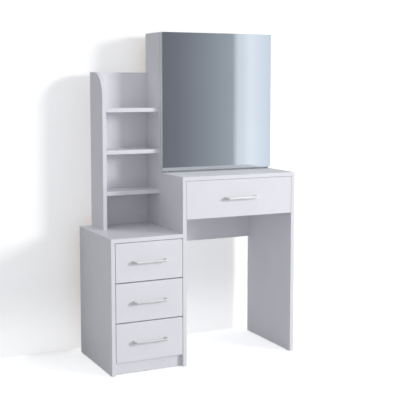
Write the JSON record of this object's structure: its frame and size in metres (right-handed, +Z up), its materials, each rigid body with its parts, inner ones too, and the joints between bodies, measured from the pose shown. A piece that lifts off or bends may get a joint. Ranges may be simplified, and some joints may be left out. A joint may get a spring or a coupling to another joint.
{
  "type": "vanity table with mirror cabinet",
  "caption": "White board vanity desk with a drawer cabinet, an open shelf tower, and a mirror door that swings open on a shallow cabinet.",
  "frame": {"origin": "on the floor, under the middle of the bounding box", "axes": "+Z up, front and drawer pulls towards -Y, low drawer cabinet at -X"},
  "size_m": [0.8, 0.394, 1.315],
  "materials": {
    "white_board": "white melamine-faced chipboard, fine satin texture",
    "white_hardboard": "white-lacquered thin hardboard, matte",
    "mirror": "silvered float glass, polished",
    "satin_nickel": "satin nickel plating",
    "nickel_pins": "nickel-plated, smooth",
    "zinc_steel": "bright zinc-plated sheet and die-cast zinc",
    "grey_plastic": "moulded grey plastic"
  },
  "bodies": {
    "carcass": {"cabinet_left_panel": "white_board", "cabinet_top": "white_board", "cabinet_bottom": "white_board", "cabinet_plinth": "white_board", "cabinet_back_panel": "white_hardboard", "desk_left_panel": "white_board", "desk_right_panel": "white_board", "desk_top": "white_board", "modesty_panel": "white_board", "tower_side_panel": "white_board", "tower_back_panel": "white_board", "tower_shelf_upper": "white_board", "tower_shelf_middle": "white_board", "tower_shelf_lower": "white_board", "mirror_cabinet_left_side": "white_board", "mirror_cabinet_right_side": "white_board", "mirror_cabinet_top": "white_board", "mirror_cabinet_bottom": "white_board", "mirror_cabinet_back": "white_hardboard", "mirror_cabinet_shelves": "white_board", "shelf_pins": "nickel_pins", "door_pivot_brackets": "zinc_steel", "door_pivot_pins": "nickel_pins", "magnetic_catch": "grey_plastic", "cam_bolts": "zinc_steel", "cam_nuts": "zinc_steel", "drawer_channels": "zinc_steel", "floor_glides": "grey_plastic"},
    "mirror_door": {"mirror_door_panel": "white_board", "mirror_glass": "mirror", "door_pivot_bushes": "grey_plastic", "strike_plate": "zinc_steel"},
    "drawer_1": {"drawer_1_front": "white_board", "drawer_1_sides": "white_board", "drawer_1_back": "white_board", "drawer_1_bottom": "white_hardboard", "drawer_1_runners": "zinc_steel", "drawer_1_handle": "satin_nickel", "drawer_1_handle_screws": "zinc_steel"},
    "drawer_2": {"drawer_2_front": "white_board", "drawer_2_sides": "white_board", "drawer_2_back": "white_board", "drawer_2_bottom": "white_hardboard", "drawer_2_runners": "zinc_steel", "drawer_2_handle": "satin_nickel", "drawer_2_handle_screws": "zinc_steel"},
    "drawer_3": {"drawer_3_front": "white_board", "drawer_3_sides": "white_board", "drawer_3_back": "white_board", "drawer_3_bottom": "white_hardboard", "drawer_3_runners": "zinc_steel", "drawer_3_handle": "satin_nickel", "drawer_3_handle_screws": "zinc_steel"},
    "desk_drawer": {"desk_drawer_front": "white_board", "desk_drawer_sides": "white_board", "desk_drawer_back": "white_board", "desk_drawer_bottom": "white_hardboard", "desk_drawer_runners": "zinc_steel", "desk_drawer_handle": "satin_nickel", "desk_drawer_handle_screws": "zinc_steel"}
  },
  "joints": [
    {"name": "drawer_1_slide", "type": "slide", "parent": "carcass", "child": "drawer_1", "axis": [0, -1, 0], "range_m": [0, 0.225]},
    {"name": "drawer_2_slide", "type": "slide", "parent": "carcass", "child": "drawer_2", "axis": [0, -1, 0], "range_m": [0, 0.225]},
    {"name": "drawer_3_slide", "type": "slide", "parent": "carcass", "child": "drawer_3", "axis": [0, -1, 0], "range_m": [0, 0.225]},
    {"name": "desk_drawer_slide", "type": "slide", "parent": "carcass", "child": "desk_drawer", "axis": [0, -1, 0], "range_m": [0, 0.225]},
    {"name": "mirror_door_hinge", "type": "hinge", "parent": "carcass", "child": "mirror_door", "pos_m": [0.3945, 0.0425, 0.75], "axis": [0, 0, 1], "range_deg": [0, 100]}
  ]
}
